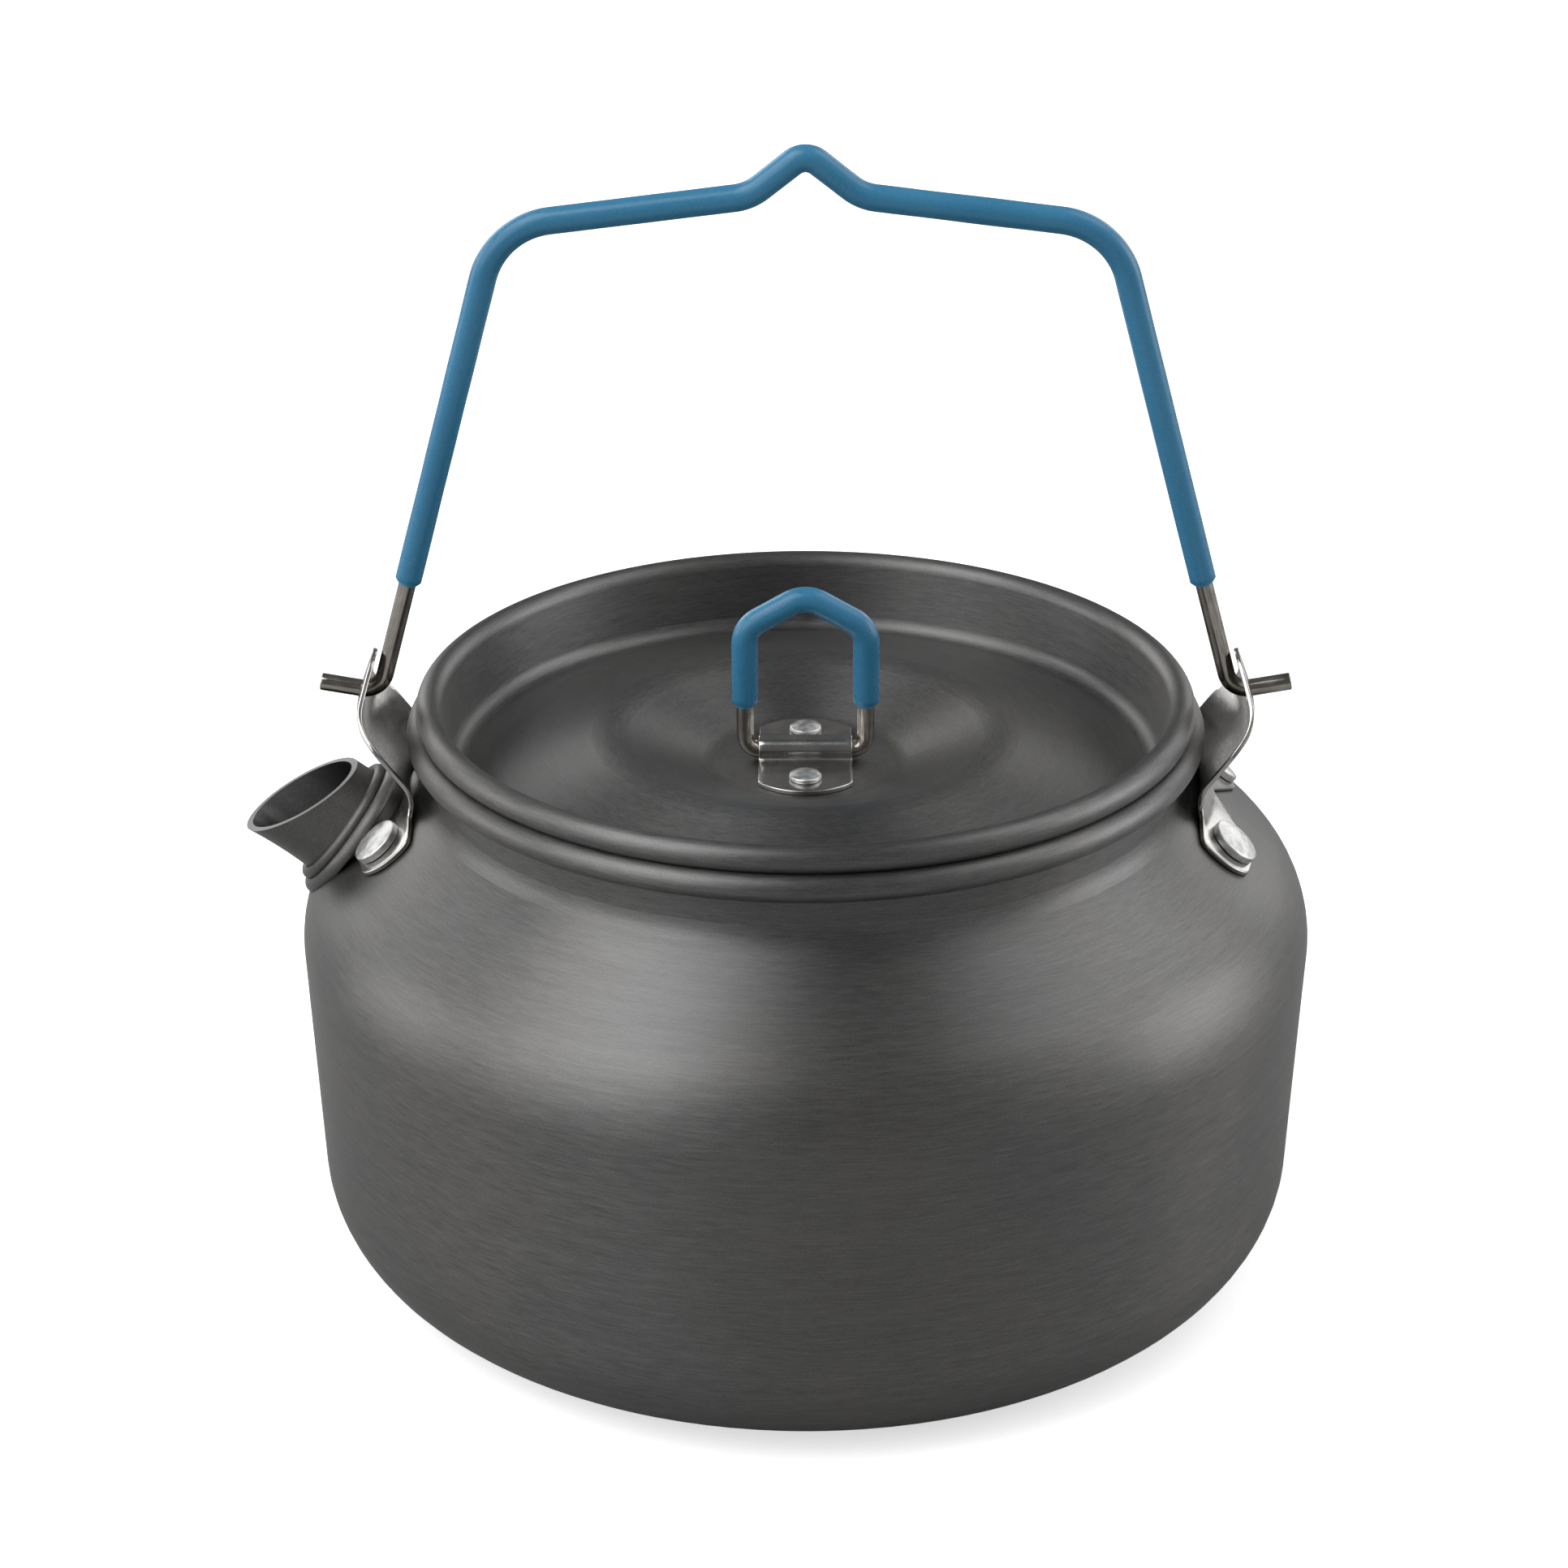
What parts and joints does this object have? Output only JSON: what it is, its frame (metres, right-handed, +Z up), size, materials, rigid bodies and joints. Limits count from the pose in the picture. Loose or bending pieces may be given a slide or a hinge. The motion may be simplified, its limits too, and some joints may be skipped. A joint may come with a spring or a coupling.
{
  "type": "camping kettle",
  "caption": "Squat anodised camping kettle with a short spout, a folding bail in a blue sleeve and a lift-off lid with its own folding loop.",
  "frame": {"origin": "centre of the flat base's underside, on the floor", "axes": "+Z up along the kettle's axis of revolution; X along the bail's pivot line with the spout towards -X; the object is symmetric about the plane y = 0 and the front seen by a user holding the spout on their left is -Y"},
  "size_m": [0.174, 0.165, 0.1851],
  "materials": {
    "anodised_aluminium": "hard anodised, satin, spun",
    "stainless_sheet": "polished",
    "stainless_wire": "drawn, polished",
    "blue_vinyl": "semi-gloss vinyl",
    "rivet_aluminium": "matte"
  },
  "bodies": {
    "kettle": {"kettle_body": "anodised_aluminium", "spout": "anodised_aluminium", "spout_collar": "anodised_aluminium", "spout_side_lug": "stainless_sheet", "far_side_lug": "stainless_sheet", "spout_lug_front_rivet": "rivet_aluminium", "spout_lug_rear_rivet": "rivet_aluminium", "far_lug_front_rivet": "rivet_aluminium", "far_lug_rear_rivet": "rivet_aluminium"},
    "bail": {"bail_wire": "stainless_wire", "bail_sleeve": "blue_vinyl"},
    "lid": {"lid_shell": "anodised_aluminium", "lid_clip": "stainless_sheet", "lid_clip_front_rivet": "rivet_aluminium", "lid_clip_rear_rivet": "rivet_aluminium"},
    "lid_loop": {"lid_loop_wire": "stainless_wire", "lid_loop_sleeve": "blue_vinyl"}
  },
  "joints": [
    {"name": "bail_fold", "type": "hinge", "parent": "kettle", "child": "bail", "pos_m": [0, 0, 0.0956], "axis": [1, 0, 0], "range_deg": [-99.5, 99.5]},
    {"name": "lid_lift", "type": "slide", "parent": "kettle", "child": "lid", "axis": [0, 0, 1], "range_m": [0, 0.012]},
    {"name": "lid_loop_fold", "type": "hinge", "parent": "lid", "child": "lid_loop", "pos_m": [0, 0, 0.08505], "axis": [1, 0, 0], "range_deg": [-80, 80]}
  ]
}
